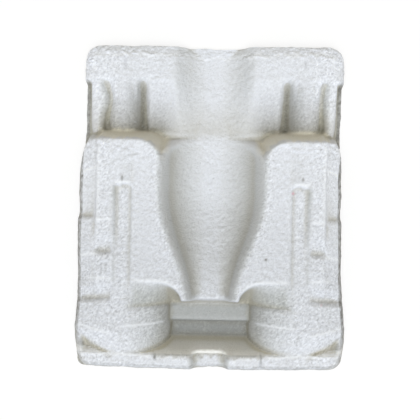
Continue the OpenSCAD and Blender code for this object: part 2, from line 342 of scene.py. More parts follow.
def groove_distance(a):
    """Distance from the lowest line of the nearer groove beside a ridge."""
    return np.abs(np.abs(a - ridge_x) - ridge_r - groove_off)


def rib(a, y):
    """A squared half ellipse along the side, wider where it bulges."""
    rib_half = rib_r + rib_bulge * bell(y, rib_bulge_y, rib_bulge_run)
    return rib_z * arc(np.clip((a - rib_x) / rib_half, -1, 1), 1) ** rib_square


def deck(a, y):
    """A level band that falls towards the ledge, with round ridges and V grooves beside them."""
    fall = ramp(y, deck_y, ledge_foot_y)
    depth = groove_d * np.clip(1 - groove_distance(a) / groove_half, 0, 1)
    floor_z = mix(deck_z, deck_foot_z, fall) - depth * np.minimum(1, fall / groove_start)
    ridge = deck_z - ridge_r + arc(a - ridge_x, ridge_r)
    band = higher(np.maximum(floor_z, wall), np.maximum(ridge, rib(a, y)), deck_blend)
    flange = (ramp(a, flange_x, flange_x + flange_step)
              * ramp(y, flange_end_y, flange_end_y - flange_end_step))
    return mix(band, wall, flange)


print("deck", deck_z, "mm high, grooves", groove_d, "mm deep")

# %% [markdown]
# ## High rim
# The rim closes the other end. Its inner side slopes steeply to the pocket, a round rest in its
# middle takes the neck, and a lip at each corner closes the hollow beside the dome.

# %% High rim
rim_z, rim_run, rest_blend = 37.0, 12.0, 3.0
corner_lip_z, corner_lip_slope = 26.0, 1.6
roll_w, roll_drop = 5.0, 5.0


def rim(a, y):
    """A level band along the end, its slope down to the floor, and a rest for the neck."""
    slope_z = rim_z - (y - rim_y) * (rim_z - wall) / rim_run
    return lower(np.minimum(slope_z, rim_z), trough(a, neck_y), rest_blend)


def corner_lip(a, y):
    """A lip along the side edge that rises from the dome's end to the rim and closes the hollow."""
    rise = mix(corner_lip_z, rim_z, ramp(y, outer_dome_y, rim_y))
    away = np.maximum(half_w - roll_w - a, 0) + np.maximum(y - outer_dome_y, 0)
    return rise - corner_lip_slope * away


print("rim", rim_z, "mm high and", rim_w, "mm wide")

# %% [markdown]
# ## All forms in one sheet
# Pulp can't form a knife edge, so neighbouring forms are blended rather than cut. The edge of the
# whole sheet rolls down, and at the deck's end it slopes to a lip.

# %% The whole upper face
lip_w, lip_drop = 10.5, 4.0
crease_blend, edge_blend = 2.0, 9.0


def upper(a, y):
    """Blocks and deck joined, cut by the trough, faded into the bumps, with the rim and roll."""
    relief = higher(block(a, y), deck(a, y), crease_blend)
    cradle = lower(relief, trough(a, y), edge_blend)
    body = mix(np.maximum(bump(a, y), pocket(y)), cradle, block_share(a, y)) - folds(a, y)
    whole = higher(body, np.maximum(rim(a, y), corner_lip(a, y)), crease_blend)
    side_roll = roll_drop * np.clip(1 - inside(a, y) / roll_w, 0, 1) ** 2
    lip = lip_drop * np.clip(1 - inside(a, y) / lip_w, 0, 1)
    rolled = mix(side_roll, lip, ramp(y, flange_end_y, deck_y + lip_w))
    return np.maximum(wall, whole - rolled)


formed = upper(across, y)
print("upper face from", round(float(formed.min()), 2), "to", round(float(formed.max()), 2), "mm")

# %% [markdown]
# ## Soft edges and rough pulp
# Wet pulp bridges sharp edges, so the formulas are softened with a small blur, more in the grooves.
# A Smooth modifier would do it too, but it also shrinks the outline.


# %% Blur
def shifted(z, right, up):
    """The grid of heights as seen some cells to the right and up, with the border held."""
    i = np.clip(np.arange(z.shape[0]) + up, 0, z.shape[0] - 1)
    j = np.clip(np.arange(z.shape[1]) + right, 0, z.shape[1] - 1)
    return z[np.ix_(i, j)]


def soften(z, sigma):
    """A Gaussian blur: the mean of the shifted grids, first across and then along."""
    reach = int(3 * sigma / CELL) + 1
    taps = np.exp(-0.5 * (np.arange(-reach, reach + 1) * CELL / sigma) ** 2)
    taps /= taps.sum()
    z = sum(t * shifted(z, k - reach, 0) for k, t in enumerate(taps))
    return sum(t * shifted(z, 0, k - reach) for k, t in enumerate(taps))


edge_blur, groove_blur, groove_reach = 0.7, 2.6, 7.0
groove_off_line = groove_distance(across)
in_groove = (bell(groove_off_line, 0, groove_reach) * ramp(y, deck_y + 10, deck_y)
             * ramp(y, ledge_foot_y + 1, ledge_foot_y + 8))
smooth = mix(soften(formed, edge_blur), soften(formed, groove_blur), in_groove)
print("blur moved the sheet by up to", round(float(np.abs(smooth - formed).max()), 2), "mm")

# %% [markdown]
# The surface is then roughened with random grain. Grain could come from a texture, but then the
# silhouette and the exported mesh would stay smooth. Filtering white noise by its spectrum gives
# any grain size, and a fixed seed gives the same sheet each time.


# %% Grain
def grain(size, seed, stretch=1.0):
    """White noise kept only around one grain size, f * exp(-f^2), with a spread of one."""
    white = np.random.default_rng(seed).standard_normal(x.shape)
    fy = np.fft.fftfreq(x.shape[0], CELL)[:, None] * stretch
    fx = np.fft.rfftfreq(x.shape[1], CELL)[None, :]
    f = np.hypot(fx, fy) * size
    kept = np.fft.irfft2(np.fft.rfft2(white) * f * np.exp(-f * f), x.shape)
    return kept / kept.std()


gentle, sheer = 0.6, 2.1
slope = np.hypot(*np.gradient(smooth, CELL))
steep = ramp(slope, gentle, sheer)
calm = 1 - 0.7 * ramp(y, crease_y, crease_y - 12) * ramp(across, 62, 52)
waves = 0.35 * grain(60, 1) + 0.12 * grain(14, 2)
fine_grain = 0.15 * grain(6, 3) + 0.17 * grain(3.0, 4)
rough = waves + calm * (1 - 0.6 * steep) * fine_grain
print("roughness spread", round(float(rough.std()), 3), "mm")

# %% [markdown]
# Where the wet sheet was pressed over an edge it crumpled. Creases are sharp lines between rounded
# humps, which is what the size of a smooth noise looks like where the noise changes sign.

# %% Crumpled bands
crease_level, calm_edge, edge_share = 0.8, 3.0, 0.3
lip_depth, block_depth, rim_depth = 0.8, 0.65, 0.45
on_lip = ramp(from_edge, lip_w + 3, lip_w - 2) * ramp(y, deck_y, deck_y + 8)
on_block = ramp(y, 25, 50) * ramp(y, ledge_top_y + 2, ledge_top_y - 1) * ramp(across, 38, 44)
on_rim = ramp(y, rim_y + 4, rim_y + 1)
lip_crumple = np.abs(grain(11, 11, 0.5)) - crease_level
top_crumple = np.abs(grain(8, 12)) - crease_level
crumple = (lip_depth * on_lip * lip_crumple
           + (block_depth * on_block + rim_depth * on_rim) * top_crumple)
top = smooth + (rough + crumple) * np.clip(from_edge / calm_edge, edge_share, 1)
print("crumpled by up to", round(float(np.abs(crumple).max()), 2), "mm")

# %% [markdown]
# The sheet has been handled: it is cracked in four places, and the upper layer of fibres has peeled
# off along the inner edge of the rim. Both are small dents in the height field.


# %% Cracks and a peeled layer
def crack(line_x, start, end, depth):
    """A crease along y at one x: a narrow V that wavers and fades out at both ends."""
    wide = bell(x, line_x + 0.4 * np.sin(0.9 * y), 0.8)
    return depth * wide * ramp(y, start, start + 2) * ramp(y, end, end - 2)


# Place across, start, end and depth of each crack
crack_shapes = [(-82.4, 124, 138, 1.2), (83.4, 125, 134, 1.0),
                (-48.4, -139, -131, 2.0), (46.5, -146, -131, 1.5)]
cracks = sum(crack(*shape) for shape in crack_shapes)
tear = np.clip(1.8 + 0.9 * grain(7, 17)[:1] + 0.5 * grain(3, 18)[:1], 0.3, 4)
tear_y = rim_y - tear
peel_depth, least_z, most_z = 1.2, 0.8 * wall, pad_h + 0.5
peeled = (ramp(y, tear_y - 0.4, tear_y + 0.6) * ramp(y, rim_y + 3, rim_y + 1)
          * ramp(across, 50.5, 48.5))
top = np.clip(top - cracks - peel_depth * peeled, least_z, most_z)
print("peeled off:", int((peeled > 0.5).sum()), "cells")

# %% [markdown]
# ## Underside
# The pulp has one thickness, so the underside is the upper face shrunk by a ball: at each place the
# lowest of the shifted heights less the ball's own height. A Solidify modifier would fold over
# itself in the narrow grooves, which the ball can't enter.

# %% Shrink by the thickness
reach = int(wall / CELL)
ball = [(i, j) for i in range(-reach, reach + 1) for j in range(-reach, reach + 1)
        if math.hypot(i, j) * CELL <= wall]
lows = [shifted(smooth, i, j) - math.sqrt(wall ** 2 - (i * i + j * j) * CELL ** 2)
        for i, j in ball]
under_rough, least_wall = 0.12, 0.6 * wall
bottom = np.maximum(np.min(lows, axis=0) + under_rough * np.abs(grain(5, 5)), 0)
bottom = np.minimum(bottom, top - least_wall)
print("underside from", round(float(bottom.min()), 2), "to", round(float(bottom.max()), 2), "mm")

# %% [markdown]
# ## Uneven outline
# A dried sheet is never quite true. Its edge is ragged, its sides bow a little, and the two sides
# of the deck differ. These are shifts of whole regions in x and y, so they don't change the forms.

# %% Ragged edge
ragged_w = 5.0
ragged = 0.25 * grain(30, 6) + 0.10 * grain(7, 7)
pull = np.clip(1 - from_edge / ragged_w, 0, 1) * np.clip(ragged + 0.5, 0, 1.6)
ragged_x = x - np.sign(x) * pull * np.clip(1 - (half_w - across) / ragged_w, 0, 1)
ragged_y = y - np.sign(y) * pull * np.clip(1 - (half_l - np.abs(y)) / ragged_w, 0, 1)
print("outline pulled in by up to", round(float(pull.max()), 2), "mm")

# %% [markdown]
# The sides lean to the left along the blocks, flare beside the domes and draw in at the rim, whose
# end bows out. A lattice could bend the mesh by hand. Sums of soft humps do the same, and can be
# measured and repeated.

# %% Bowed sides and ends
flare = bell(y, -112, 16)
rim_end = ramp(y, -124, -138)
left_warp = -1.8 * bell(y, -40, 60) - 2.4 * flare + 2.0 * rim_end
right_warp = (-1.4 * bell(y, -5, 45) - 1.5 * bell(y, 25, 16)
              + 1.5 * ramp(y, -60, -105) + 1.6 * flare - 2.6 * rim_end)
ragged_x = ragged_x + np.where(x < 0, left_warp, right_warp) * ramp(across, 88, 116)
ragged_x = ragged_x + 0.8 * ramp(y, 40, 110)
ragged_y = (ragged_y - 2.4 * (1 - (x / half_w) ** 2) * ramp(y, -60, -half_l)
            - 1.8 * ramp(x, 60, -100) * ramp(y, 60, half_l))
print("sides moved by up to", round(float(np.abs(left_warp).max()), 2), "mm")

# %% [markdown]
# On the deck, ridge, grooves and rib each sit a little off their place, and not alike on the left
# and right. A shift at a few stops across the sheet, with straight lines between, is enough.

# %% Shifted ridges and ribs
deck_stops = [50, 66, 83, 100, 107, 112.5, 118]
bulge = bell(y, rib_bulge_y + 3, 11)
deck_left = (np.interp(across, deck_stops, [0, -0.5, 0.3, -0.4, 0, -1.9, 0])
             + 3.2 * bulge * np.interp(across, deck_stops, [0, 0, 0.2, 1, 0.4, 0, 0]))
deck_right = np.interp(across, deck_stops, [0, 1.8, 1.6, 1.4, 0.8, 1.6, 0])
on_deck = ramp(y, 60, 72) * ramp(y, 128, 116)
ragged_x = ragged_x + np.where(x < 0, deck_left, deck_right) * on_deck
print("deck shifted by up to", round(float(np.abs(deck_left * on_deck).max()), 2), "mm")

# %% [markdown]
# ## Mesh
# The upper face takes every point of the grid. The underside needs less detail, so it takes every
# second one, and the cut edge joins the fine border to the coarse one through a fuzzy middle ring.


# %% Rings and cells of a grid
def ring(height, width):
    """Indices along the border of a grid of points, counter-clockwise seen from above."""
    index = np.arange(height * width).reshape(height, width)
    return np.concatenate([index[0, :-1], index[:-1, -1], index[-1, :0:-1], index[:0:-1, 0]])


def cells(height, width):
    """Four corners of each cell of a grid of points, counter-clockwise seen from above."""
    index = np.arange(height * width).reshape(height, width)
    corners = [index[:-1, :-1], index[:-1, 1:], index[1:, 1:], index[1:, :-1]]
    return np.stack(corners, -1).reshape(-1, 4)


print("border of a 3 by 3 grid:", ring(3, 3))

# %% [markdown]
# The cut edge of pulp is fuzzy, because fibres stand out of it. Half-way down the edge a ring of
# points is pushed in and out by a fine grain, which costs far fewer faces than hair.

# %% Points of the sheet
fine = np.stack([ragged_x, ragged_y, top], -1)
under = np.stack([ragged_x, ragged_y, bottom], -1)
coarse = under[::2, ::2]
fine_ring = ring(*fine.shape[:2])
coarse_ring = ring(*coarse.shape[:2])
border_top = fine.reshape(-1, 3)[fine_ring]
border_low = under.reshape(-1, 3)[fine_ring]
fuzz_w, fuzz_in, fuzz_out, near_border = 0.25, 0.3, 0.5, 0.9
outward = border_top[:, :2] / np.array([half_w, half_l])
fuzz = np.clip(fuzz_w * grain(3, 8).reshape(-1)[fine_ring], -fuzz_in, fuzz_out)
middle_ring = (border_top + border_low) / 2
middle_ring[:, :2] += np.sign(outward) * (np.abs(outward) > near_border) * fuzz[:, None]
fine_count, coarse_count = fine.shape[0] * fine.shape[1], coarse.shape[0] * coarse.shape[1]
points = np.concatenate([fine.reshape(-1, 3), coarse.reshape(-1, 3), middle_ring]) * MM
print("points:", fine_count, "above,", coarse_count, "below,", len(middle_ring), "in the edge")

# %% [markdown]
# Faces go counter-clockwise seen from outside, so the underside's cells are turned over. The lower
# half of the edge has five corners to a face: two fine steps above each coarse one. Shading is
# smooth, because wet pulp has no facets, except where faces meet at more than 70 degrees.

# %% Faces of the sheet
mid = fine_count + coarse_count + np.arange(len(fine_ring))
low = fine_count + coarse_ring
upper_cells = cells(*fine.shape[:2])
under_cells = cells(*coarse.shape[:2])[:, ::-1] + fine_count
edge_upper = np.stack([mid, np.roll(mid, -1), np.roll(fine_ring, -1), fine_ring], -1)
edge_lower = np.stack([low, np.roll(low, -1), np.roll(mid, -2)[::2],
                       np.roll(mid, -1)[::2], mid[::2]], -1)
quads = np.concatenate([upper_cells, under_cells, edge_upper])
mesh = bpy.data.meshes.new("pulp_sheet")
mesh.from_pydata(points.tolist(), [], quads.tolist() + edge_lower.tolist())
sharp_angle = math.radians(70)
mesh.polygons.foreach_set("use_smooth", np.ones(len(mesh.polygons), dtype=bool))
mesh.set_sharp_from_angle(angle=sharp_angle)
pad = bpy.data.objects.new("pulp_sheet", mesh)
bpy.context.scene.collection.objects.link(pad)
mesh.validate()
mesh.update()
print("sheet:", len(mesh.vertices), "points,", 2 * len(quads) + 3 * len(edge_lower), "triangles")

# %% [markdown]
# ## What the finish needs to know
# Hollows and creases get painted shade, warmer and darker, and the outer curves get painted
# highlights. These follow the shape, so they are measured on the height field and stored on the
# points. A baked image would do too, but a stored number travels with the mesh and needs no
# unwrapping. In the next cells the ends of a ramp are places on the sheet in millimetres, and the
# factors beside it are strengths, where 1 is full.


# %% Numbers on the points
def store(name, values, under_value=0.0, edge_value=0.0):
    """Puts one number per point on the sheet, with fixed ones for the underside and cut edge."""
    whole = np.concatenate([values.reshape(-1), np.full(coarse_count, under_value),
                            np.full(len(fine_ring), edge_value)])
    attribute = mesh.attributes.new(name, "FLOAT", "POINT")
    attribute.data.foreach_set("value", whole.astype(np.float32))
    print(name, "from", round(float(values.min()), 2), "to", round(float(values.max()), 2))


# %% [markdown]
# First come three measures of the bare shape: how little sky a place sees, whether it is a crest or
# a crease, and how far a wall faces the middle of the pad.


# %% Hollows, crests and leaning walls
def sky_share(z):
    """Share of the sky seen from each place: 1 less the mean square sine of the horizon."""
    seen = np.zeros_like(z)
    turns = np.radians(np.arange(0, 360, 30))
    for turn in turns:
        rise = np.zeros_like(z)
        for d in (2, 4, 7, 11, 16, 22, 30, 40):
            i, j = round(d * math.cos(turn)), round(d * math.sin(turn))
            rise = np.maximum(rise, (shifted(z, i, j) - z) / (math.hypot(i, j) * CELL))
        seen += 1 - rise ** 2 / (1 + rise ** 2)
    return seen / len(turns)


below_brim = brim(y) - across
past_crease = ramp(y, crease_y, crease_y + 6)
in_trough = ramp(below_brim, 0, 6) * past_crease
recess = soften(1 - sky_share(smooth), 1.5) * (1 - 0.4 * in_trough)
crest = np.clip((soften(formed, 0.9) - soften(formed, 2.2)) / 0.45, -1, 1)
slope_y, slope_x = np.gradient(soften(formed, 1.2), CELL)
lean = np.clip(slope_x * np.sign(x) / np.sqrt(1 + slope_x ** 2 + slope_y ** 2), 0, 1)
lean = lean * (1 - 0.3 * ramp(below_brim, -6, 4) * past_crease)
print("recess up to", round(float(recess.max()), 2), "lean up to", round(float(lean.max()), 2))

# %% [markdown]
# Then come the places that have a look of their own. The pocket is smooth, with grey painted shade
# and warm painted shade on its slope up to the rim, so the general measure of hollows is switched
# off there.

# %% Places in the pocket and on the strips
rim_foot_y = rim_y + rim_run
off_dome = ramp(np.maximum(rim(across, y), pocket(y)) - bump(across, y), -0.5, 1.0)
past_rim = ramp(y, rim_y - 1, rim_y + 0.5)
in_pocket = ramp(y, crease_y + 1, crease_y - 1) * past_rim * off_dome
on_floor = (ramp(y, shelf_edge_y, shelf_edge_y - 1.5)
            * ramp(y, rim_foot_y - 1, rim_foot_y + 1))
on_slope = ramp(y, rim_foot_y + 1, rim_foot_y - 1) * ramp(y, rim_y - 0.5, rim_y + 1)
dome_flank = (ramp(across, 62, 37) ** 1.5 * ramp(y, crease_y + 1, crease_y - 2)
              * (1 - in_pocket) * past_rim)
on_strip = (ramp(across, strip_x - 1.5, strip_x + 2.5)
            * ramp(y, strip_top_y + 9, strip_top_y - 6) * ramp(y, -62, -52))
strip_edge = ramp(y, 53, 47) * ramp(y, outer_step_y - 4, outer_step_y + 2)
beside_strip = 1 - 0.8 * strip_edge * bell(across, strip_x + 0.5, 3)
# The recess carries painted shade in the hollows. The crest carries painted highlights on crests
# and painted shade in creases.
store("recess", recess * beside_strip * (1 - in_pocket), 0.3, 0.3)
store("crest", crest * beside_strip)

# %% [markdown]
# Edges of steps, slots, domes, the rim and the deck's lip get painted highlights. Each is a soft
# white line that follows the edge of a form, so it uses the same values as the form. The line along
# the torn layer and a few white flecks are whitened too.


# %% Painted highlights and white flecks
def line(line_y, width, start, end):
    """A soft line across the sheet, between two distances from the middle."""
    return (bell(y, line_y, width) * ramp(across, start - 1.5, start + 1.5)
            * ramp(across, end + 1.5, end - 1.5))


def spot(at_x, at_y, wide, long):
    """A soft round or long mark on the sheet."""
    return bell(x, at_x, wide) * bell(y, at_y, long)


strip_out = ramp(across, strip_x, half_w)
lip_line = from_edge - lip_w + 1.5 + 1.2 * grain(16, 16)
step_highlights = (line(inner_start_y(across) + 0.8, 1.3, 27, 69)
               + line(outer_step_y + 0.5, 1.1, 88, 101)
               + line(outer_fall_y + 0.5, 1.3, 88, 108)
               + line(strip_fall_y - 1 - 3 * strip_out, 1.3, 101, 116)
               + line(strip_top_y - 5.5 * strip_out, 1.2, 102, 117)
               + line(slot_end_y + 1.2, 1.0, 72, 86)
               + 0.55 * strip_edge * bell(across, strip_x - 1.6, 1.3))
end_highlights = (line(inner_dome_y + 0.5 + 0.05 * (70 - across), 1.1, 42, 76)
              + line(outer_dome_y - 1.5 + 0.24 * (across - 90), 1.1, 88, 117)
              + line(rim_y - 0.6 + 0.5 * grain(9, 15), 1.0, 51, 120)
              + 1.3 * line(tear_y - 0.6, 0.8, 20, 48)
              + 0.6 * bell(lip_line, 0, 1.2) * ramp(y, 118, 126))
edge_highlights = step_highlights + end_highlights
# Strength, x, y, width and length of each white fleck
white_flecks = [(1.0, -82.5, 138.8, 1.6, 1.1), (0.7, -80, 136.5, 1.0, 1.0),
                (0.8, 58, 138, 1.2, 0.9), (0.8, -83, 88.5, 0.8, 0.9), (0.7, -72.5, 75, 0.9, 0.9)]
flecks = sum(strength * spot(*shape) for strength, *shape in white_flecks)
store("highlight_and_fleck", np.clip(edge_highlights + flecks, 0, 1))

# %% [markdown]
# The falls, the slot walls, the pocket and walls that face the middle of the pad get a cool grey
# painted shade. The slot's outer wall is greyest at its round end, and its grey narrows from there.

# %% Grey painted shade on falls and walls
fallen = ramp(y, inner_start_y(across) - 1, crease_y) ** 0.35 * (y > crease_y)
grey_shade_zone = 1.2 * fallen * ramp(across, 72, 66) * ramp(across, 26, 32)
grey_shade_zone = np.maximum(grey_shade_zone, in_pocket * (1 - on_slope))
wall_off = np.abs(across - bump_x - slot_half + 0.5 * outer_draft)
wall_fade = ramp(y, 10, -6)
outer_wall = (0.75 - 0.3 * wall_fade) * bell(wall_off, 0, 1.7 - 0.8 * wall_fade)
inner_wall = 0.35 * bell(across, bump_x - slot_half + 1.2, 1.5)
slot_wall_shade = (outer_wall * ramp(y, slot_end_y + 1, slot_end_y - 5)
              + inner_wall * ramp(y, slot_end_y, slot_end_y - 4))
slot_wall_shade = slot_wall_shade * ramp(y, outer_fall_y - 8, outer_fall_y)
wall_lean = (0.65 * wall_fade * bell(wall_off, 0, 3)
             * ramp(y, outer_fall_y - 2, outer_fall_y + 8))
store("grey_shade", np.clip(grey_shade_zone + slot_wall_shade, 0, 1))
store("lean", lean * beside_strip * (1 - wall_lean))

# %% [markdown]
# Warm painted shade lies on the slope to the rim, in the hollows and along the edge at the rim's
# corners, and on the deck below the ledge. The peeled strip along the rim takes the same warm tint.

# %% Warm painted shade
wedge = (bell(y, -120.7 - 0.54 * (116.5 - across), 3) * ramp(across, 84, 92)
         * ramp(across, 114, 110))
rim_corner = ramp(from_edge, 7, 2) * ramp(across, 104, 114) * ramp(y, -122, -130)
below_ledge = (ramp(y, 98, 70) * ramp(y, ledge_top_y + 4, ledge_foot_y - 2)
               * ramp(across, 112, 106))
slope_shade = np.maximum(0.8 * in_pocket * on_slope * ramp(across, 66, 60), 0.6 * peeled)
store("warm_shade", np.clip(slope_shade + 0.7 * wedge + 0.6 * rim_corner + 0.5 * below_ledge, 0, 1), 0.3)

# %% [markdown]
# The ledges get a tan painted light, and the grooves beside the ridges hold painted shade, more so
# the deeper they are. The flange outside the ribs gets darker painted shade too, and the cut edge a
# grey painted shade. Paint by hand could follow these, but the formulas of the forms already know
# where each one starts and ends.

# %% Painted tan light on ledges, painted shade in grooves, on the flange and cut edge
beyond = beyond_ledge(across, y) + 0.8 * grain(8, 13)
tan = (ramp(beyond, 0.5, 2.5) * ramp(beyond, ledge_run + 1.5, ledge_run - 1.5)
       * ramp(across, 107, 102) * ramp(below_brim, 8, 2) * ramp(y, ledge_top_y - 22, ledge_top_y))
deeper = ramp(y, deck_y, ledge_foot_y)
groove_dark = np.where(across < ridge_x, 0.45, 0.25) + 0.65 * deeper
valley = (bell(groove_off_line, 0, 1.4 + 1.3 * deeper) * ramp(y, deck_y + 1, deck_y - 12)
          * ramp(y, ledge_foot_y - 4, ledge_foot_y)
          * groove_dark * (1 - 0.5 * ramp(deeper, 0.75, 1)))
flange = (ramp(across, flange_x, flange_x + 4) * ramp(y, flange_end_y + 1, flange_end_y - 2)
          * ramp(y, 60, 67))
cut_w, cut_fade = 4.8, 0.8
edge = (np.clip((cut_w - from_edge) / cut_fade, 0, 1) * np.where(x < 0, 0.62, 0.8)
        * ramp(y, flange_end_y + 2, flange_end_y - 2) * (1 - 0.45 * ramp(y, -100, -125)))
store("tan", np.clip(tan, 0, 1))
store("valley", np.clip(valley, 0, 1))
store("flange", flange)
store("cut_edge_shade", edge, 0.0, 1.0)

# %% [markdown]
# Recycled pulp holds ink and stray fibres. The larger marks are placed one by one, and small specks
# come from the highest peaks of a noise. The long marks along the four cracks are painted shade in
# the cracks.

# %% Marks and specks
# Strength, x, y, width and length of each dark mark
dark_marks_and_crack_shade = [(1.4, -79.1, 20.9, 1.0, 2.2), (1.2, 79.7, 22.2, 1.0, 1.8),
              (1.0, -116.4, 22.8, 1.0, 1.0), (1.0, 95, 48.8, 0.8, 0.8),
              (1.8, 48.5, -48.6, 1.1, 1.1), (0.4, 47.2, -24.1, 0.8, 0.9),
              (0.5, -96, -59, 0.7, 5), (0.45, -92.5, -58, 0.7, 5),
              (0.5, -49.5, -142, 1.3, 1.2), (1.3, -48.4, -136, 0.9, 1.7),
              (0.8, 46.5, -138, 0.8, 5), (0.4, -82.4, 129, 0.9, 5), (0.35, 83.4, 130, 1.2, 4)]
marks_and_crack_shade = sum(strength * spot(*shape) for strength, *shape in dark_marks_and_crack_shade)
speck_size, rare, frequent, darkest = 2.2, 2.3, 1.4, 1.5
on_tops = ramp(y, -62, -50)
pits = bell(below_brim, -2, 5) * on_tops * ramp(y, 52, 40)
specks = (np.clip(grain(speck_size, 14) - rare, 0, darkest)
          + pits * np.clip(grain(speck_size, 19) - frequent, 0, darkest))
store("mark_and_crack_shade", np.clip(marks_and_crack_shade + 0.3 * specks, 0, 1))
store("pink", 1.3 * spot(71.6, 10.2, 1.1, 1.1) + 0.6 * spot(98.7, -88.3, 0.9, 0.8))

# %% [markdown]
# The mould's mesh leaves a stipple. It is strong where pulp was pressed into the mesh, on the outer
# blocks, the bumps and along the trough, and weak on rubbed tops, steep walls, painted highlights
# and the grey painted shade of the slot walls.

# %% Stipple
rubbed_x = 58.0
quiet = ramp(np.abs(across - rubbed_x), 10, 4) * on_tops * ramp(y, 46, 36)
on_bump_end = ramp(y, -66, -84) * ramp(y, -132, -118)
in_slot = np.clip(1 - 0.12 * np.abs(across - bump_x), 0, 1) * ramp(y, 18, 12)
at_trough = bell(below_brim, -4, 6) * ramp(y, -66, -50) * ramp(y, 54, 46)
busy = np.maximum(ramp(across, 86, 92) * (1 - 0.7 * on_strip), on_bump_end)
busy = np.maximum(np.maximum(busy, in_slot), at_trough) * (1 - in_pocket)
stipple = ((0.7 + 0.6 * busy - 0.25 * quiet - 0.4 * in_trough - 0.5 * in_pocket)
           * (1 - 0.8 * steep) * (1 - 0.8 * np.clip(edge_highlights + slot_wall_shade, 0, 1)))
store("grit", stipple * (0.9 * grain(2.0, 9) + 0.45 * grain(4.5, 10)))

# %% [markdown]
# Last comes painted light and shade, as a slow change of tone: paler towards the deck, at the rim,
# on the strips and on the pocket's slope, and darker in the pocket, on the domes' flanks facing it,
# and where the deck falls towards the ledge and along the ridges there.

# %% Painted light and shade
paler = 0.07 * np.clip(y / 50, -1, 1) + 0.09 * ramp(y, -110, -135) + 0.05 * on_strip
slope_tone = 0.40 + 0.26 * ramp(y, rim_foot_y, rim_y)
pocket_tone = in_pocket * (0.14 + 0.22 * on_floor - on_slope * slope_tone) + 0.22 * dome_flank
past_foot = ramp(y, ledge_foot_y - 3, ledge_foot_y)
ridge_foot = ramp(y, 105, 74) * ramp(np.abs(across - ridge_x), 17, 12) * past_foot
ridge_side = ramp(across, 90, 67) * ramp(across, 63, 66) * ramp(y, deck_y + 4, deck_y - 10)
deck_hollow = ramp(y, 114, 70) ** 1.2 * ramp(across, 30, 48) * ramp(across, 68, 62)
deck_tone = (0.21 * ridge_foot + 0.27 * ridge_side + 0.36 * deck_hollow) * past_foot
store("light_and_shade", paler - pocket_tone - deck_tone)

# %% [markdown]
# ## Pulp
# The finish is uncoated paper: almost no gloss, a cool off-white, and fibres that catch the light.
# Its colour is a long sum, which is hard to read as a heap of nodes. A small class lets Python's
# own operators make the nodes, so that the finish reads like the sum that it is.


# %% Shader expressions
class Wire:
    """A shader socket that can be used in sums: each operator adds a Math node."""

    def __init__(self, tree, socket=None):
        self.tree = tree
        self.socket = socket

    def make(self, kind, settings=None, sockets=None, out=0):
        """Adds a node of any kind: its settings first, then the values or links of its sockets."""
        node = self.tree.nodes.new(kind)
        for name, value in (settings or {}).items():
            setattr(node, name, value)
        for name, value in (sockets or {}).items():
            if isinstance(value, Wire):
                self.tree.links.new(value.socket, node.inputs[name])
            else:
                node.inputs[name].default_value = value
        return Wire(self.tree, node.outputs[out] if len(node.outputs) else None)

    def math(self, operation, first, second):
        return self.make("ShaderNodeMath", {"operation": operation}, {0: first, 1: second})

    def __add__(self, other):
        return self.math("ADD", self, other)

    def __radd__(self, other):
        return self.math("ADD", other, self)

    def __sub__(self, other):
        return self.math("SUBTRACT", self, other)

    def __rsub__(self, other):
        return self.math("SUBTRACT", other, self)

    def __mul__(self, other):
        return self.math("MULTIPLY", self, other)

    def __rmul__(self, other):
        return self.math("MULTIPLY", other, self)

    def clamp(self, low=0.0, high=1.0):
        return self.make("ShaderNodeClamp", None, {"Value": self, "Min": low, "Max": high})

    def tint(self, first, second):
        """Goes from the first colour to the second as this value goes from 0 to 1."""
        return self.make("ShaderNodeMix", {"data_type": "RGBA"}, {0: self, 6: first, 7: second}, 2)


def new_finish(name):
    """An empty material and a wire to start its expressions from."""
    material = bpy.data.materials.new(name)
    material.use_nodes = True
    material.node_tree.nodes.clear()
    return material, Wire(material.node_tree)


pulp, start = new_finish("pulp")
print("new finish:", pulp.name)

# %% [markdown]
# The finish starts from the numbers stored on the points, and from noise in the sheet's own
# coordinates, so that it stays in place when the pad is turned.


# %% Inputs of the pulp
def stored(name):
    """The number that the points carry under a name."""
    return start.make("ShaderNodeAttribute", {"attribute_name": name}, None, "Fac")


def noise(scale, detail=2.0, distortion=0.0):
    """Noise with features of about 1 / scale metres, from 0 to 1."""
    settings = {"Vector": place, "Scale": scale, "Detail": detail, "Distortion": distortion}
    return start.make("ShaderNodeTexNoise", None, settings, 0)


place = start.make("ShaderNodeTexCoord", None, None, "Object")
crest_w, highlight_w = stored("crest"), stored("highlight_and_fleck")
blotch = noise(45, 3.0)
fibre = noise(420, 3.0, 0.8)
print("inputs:", len(pulp.node_tree.nodes), "nodes")

# %% [markdown]
# Each step of the colour lays one more thing over the last: grey painted shade on walls, warm
# painted shade in hollows and creases, tan painted light on ledges, painted shade in the grooves
# and on the flange, and painted highlights. Layers keep each thing apart, so that one can be
# changed alone.

# %% Pulp colours
# Apart from the pale pulp, the pink fleck and the shed fibres, these are colours of painted light
# and shade. The dark colour is also used for the real marks.
PALE = (0.785, 0.808, 0.862, 1)
WARM_SHADE = (0.50, 0.48, 0.41, 1)
SHADE_GREY = (0.52, 0.535, 0.52, 1)
BRIGHT = (0.93, 0.955, 1.0, 1)
DARK = (0.25, 0.245, 0.23, 1)
TAN = (0.82, 0.79, 0.69, 1)
SHADE = (0.27, 0.265, 0.225, 1)
OLIVE = (0.30, 0.30, 0.265, 1)
PINK = (0.80, 0.42, 0.50, 1)
SHED = (0.70, 0.71, 0.70, 1)
hollow_shade = ((stored("recess") - 0.12) * 1.7).clamp()
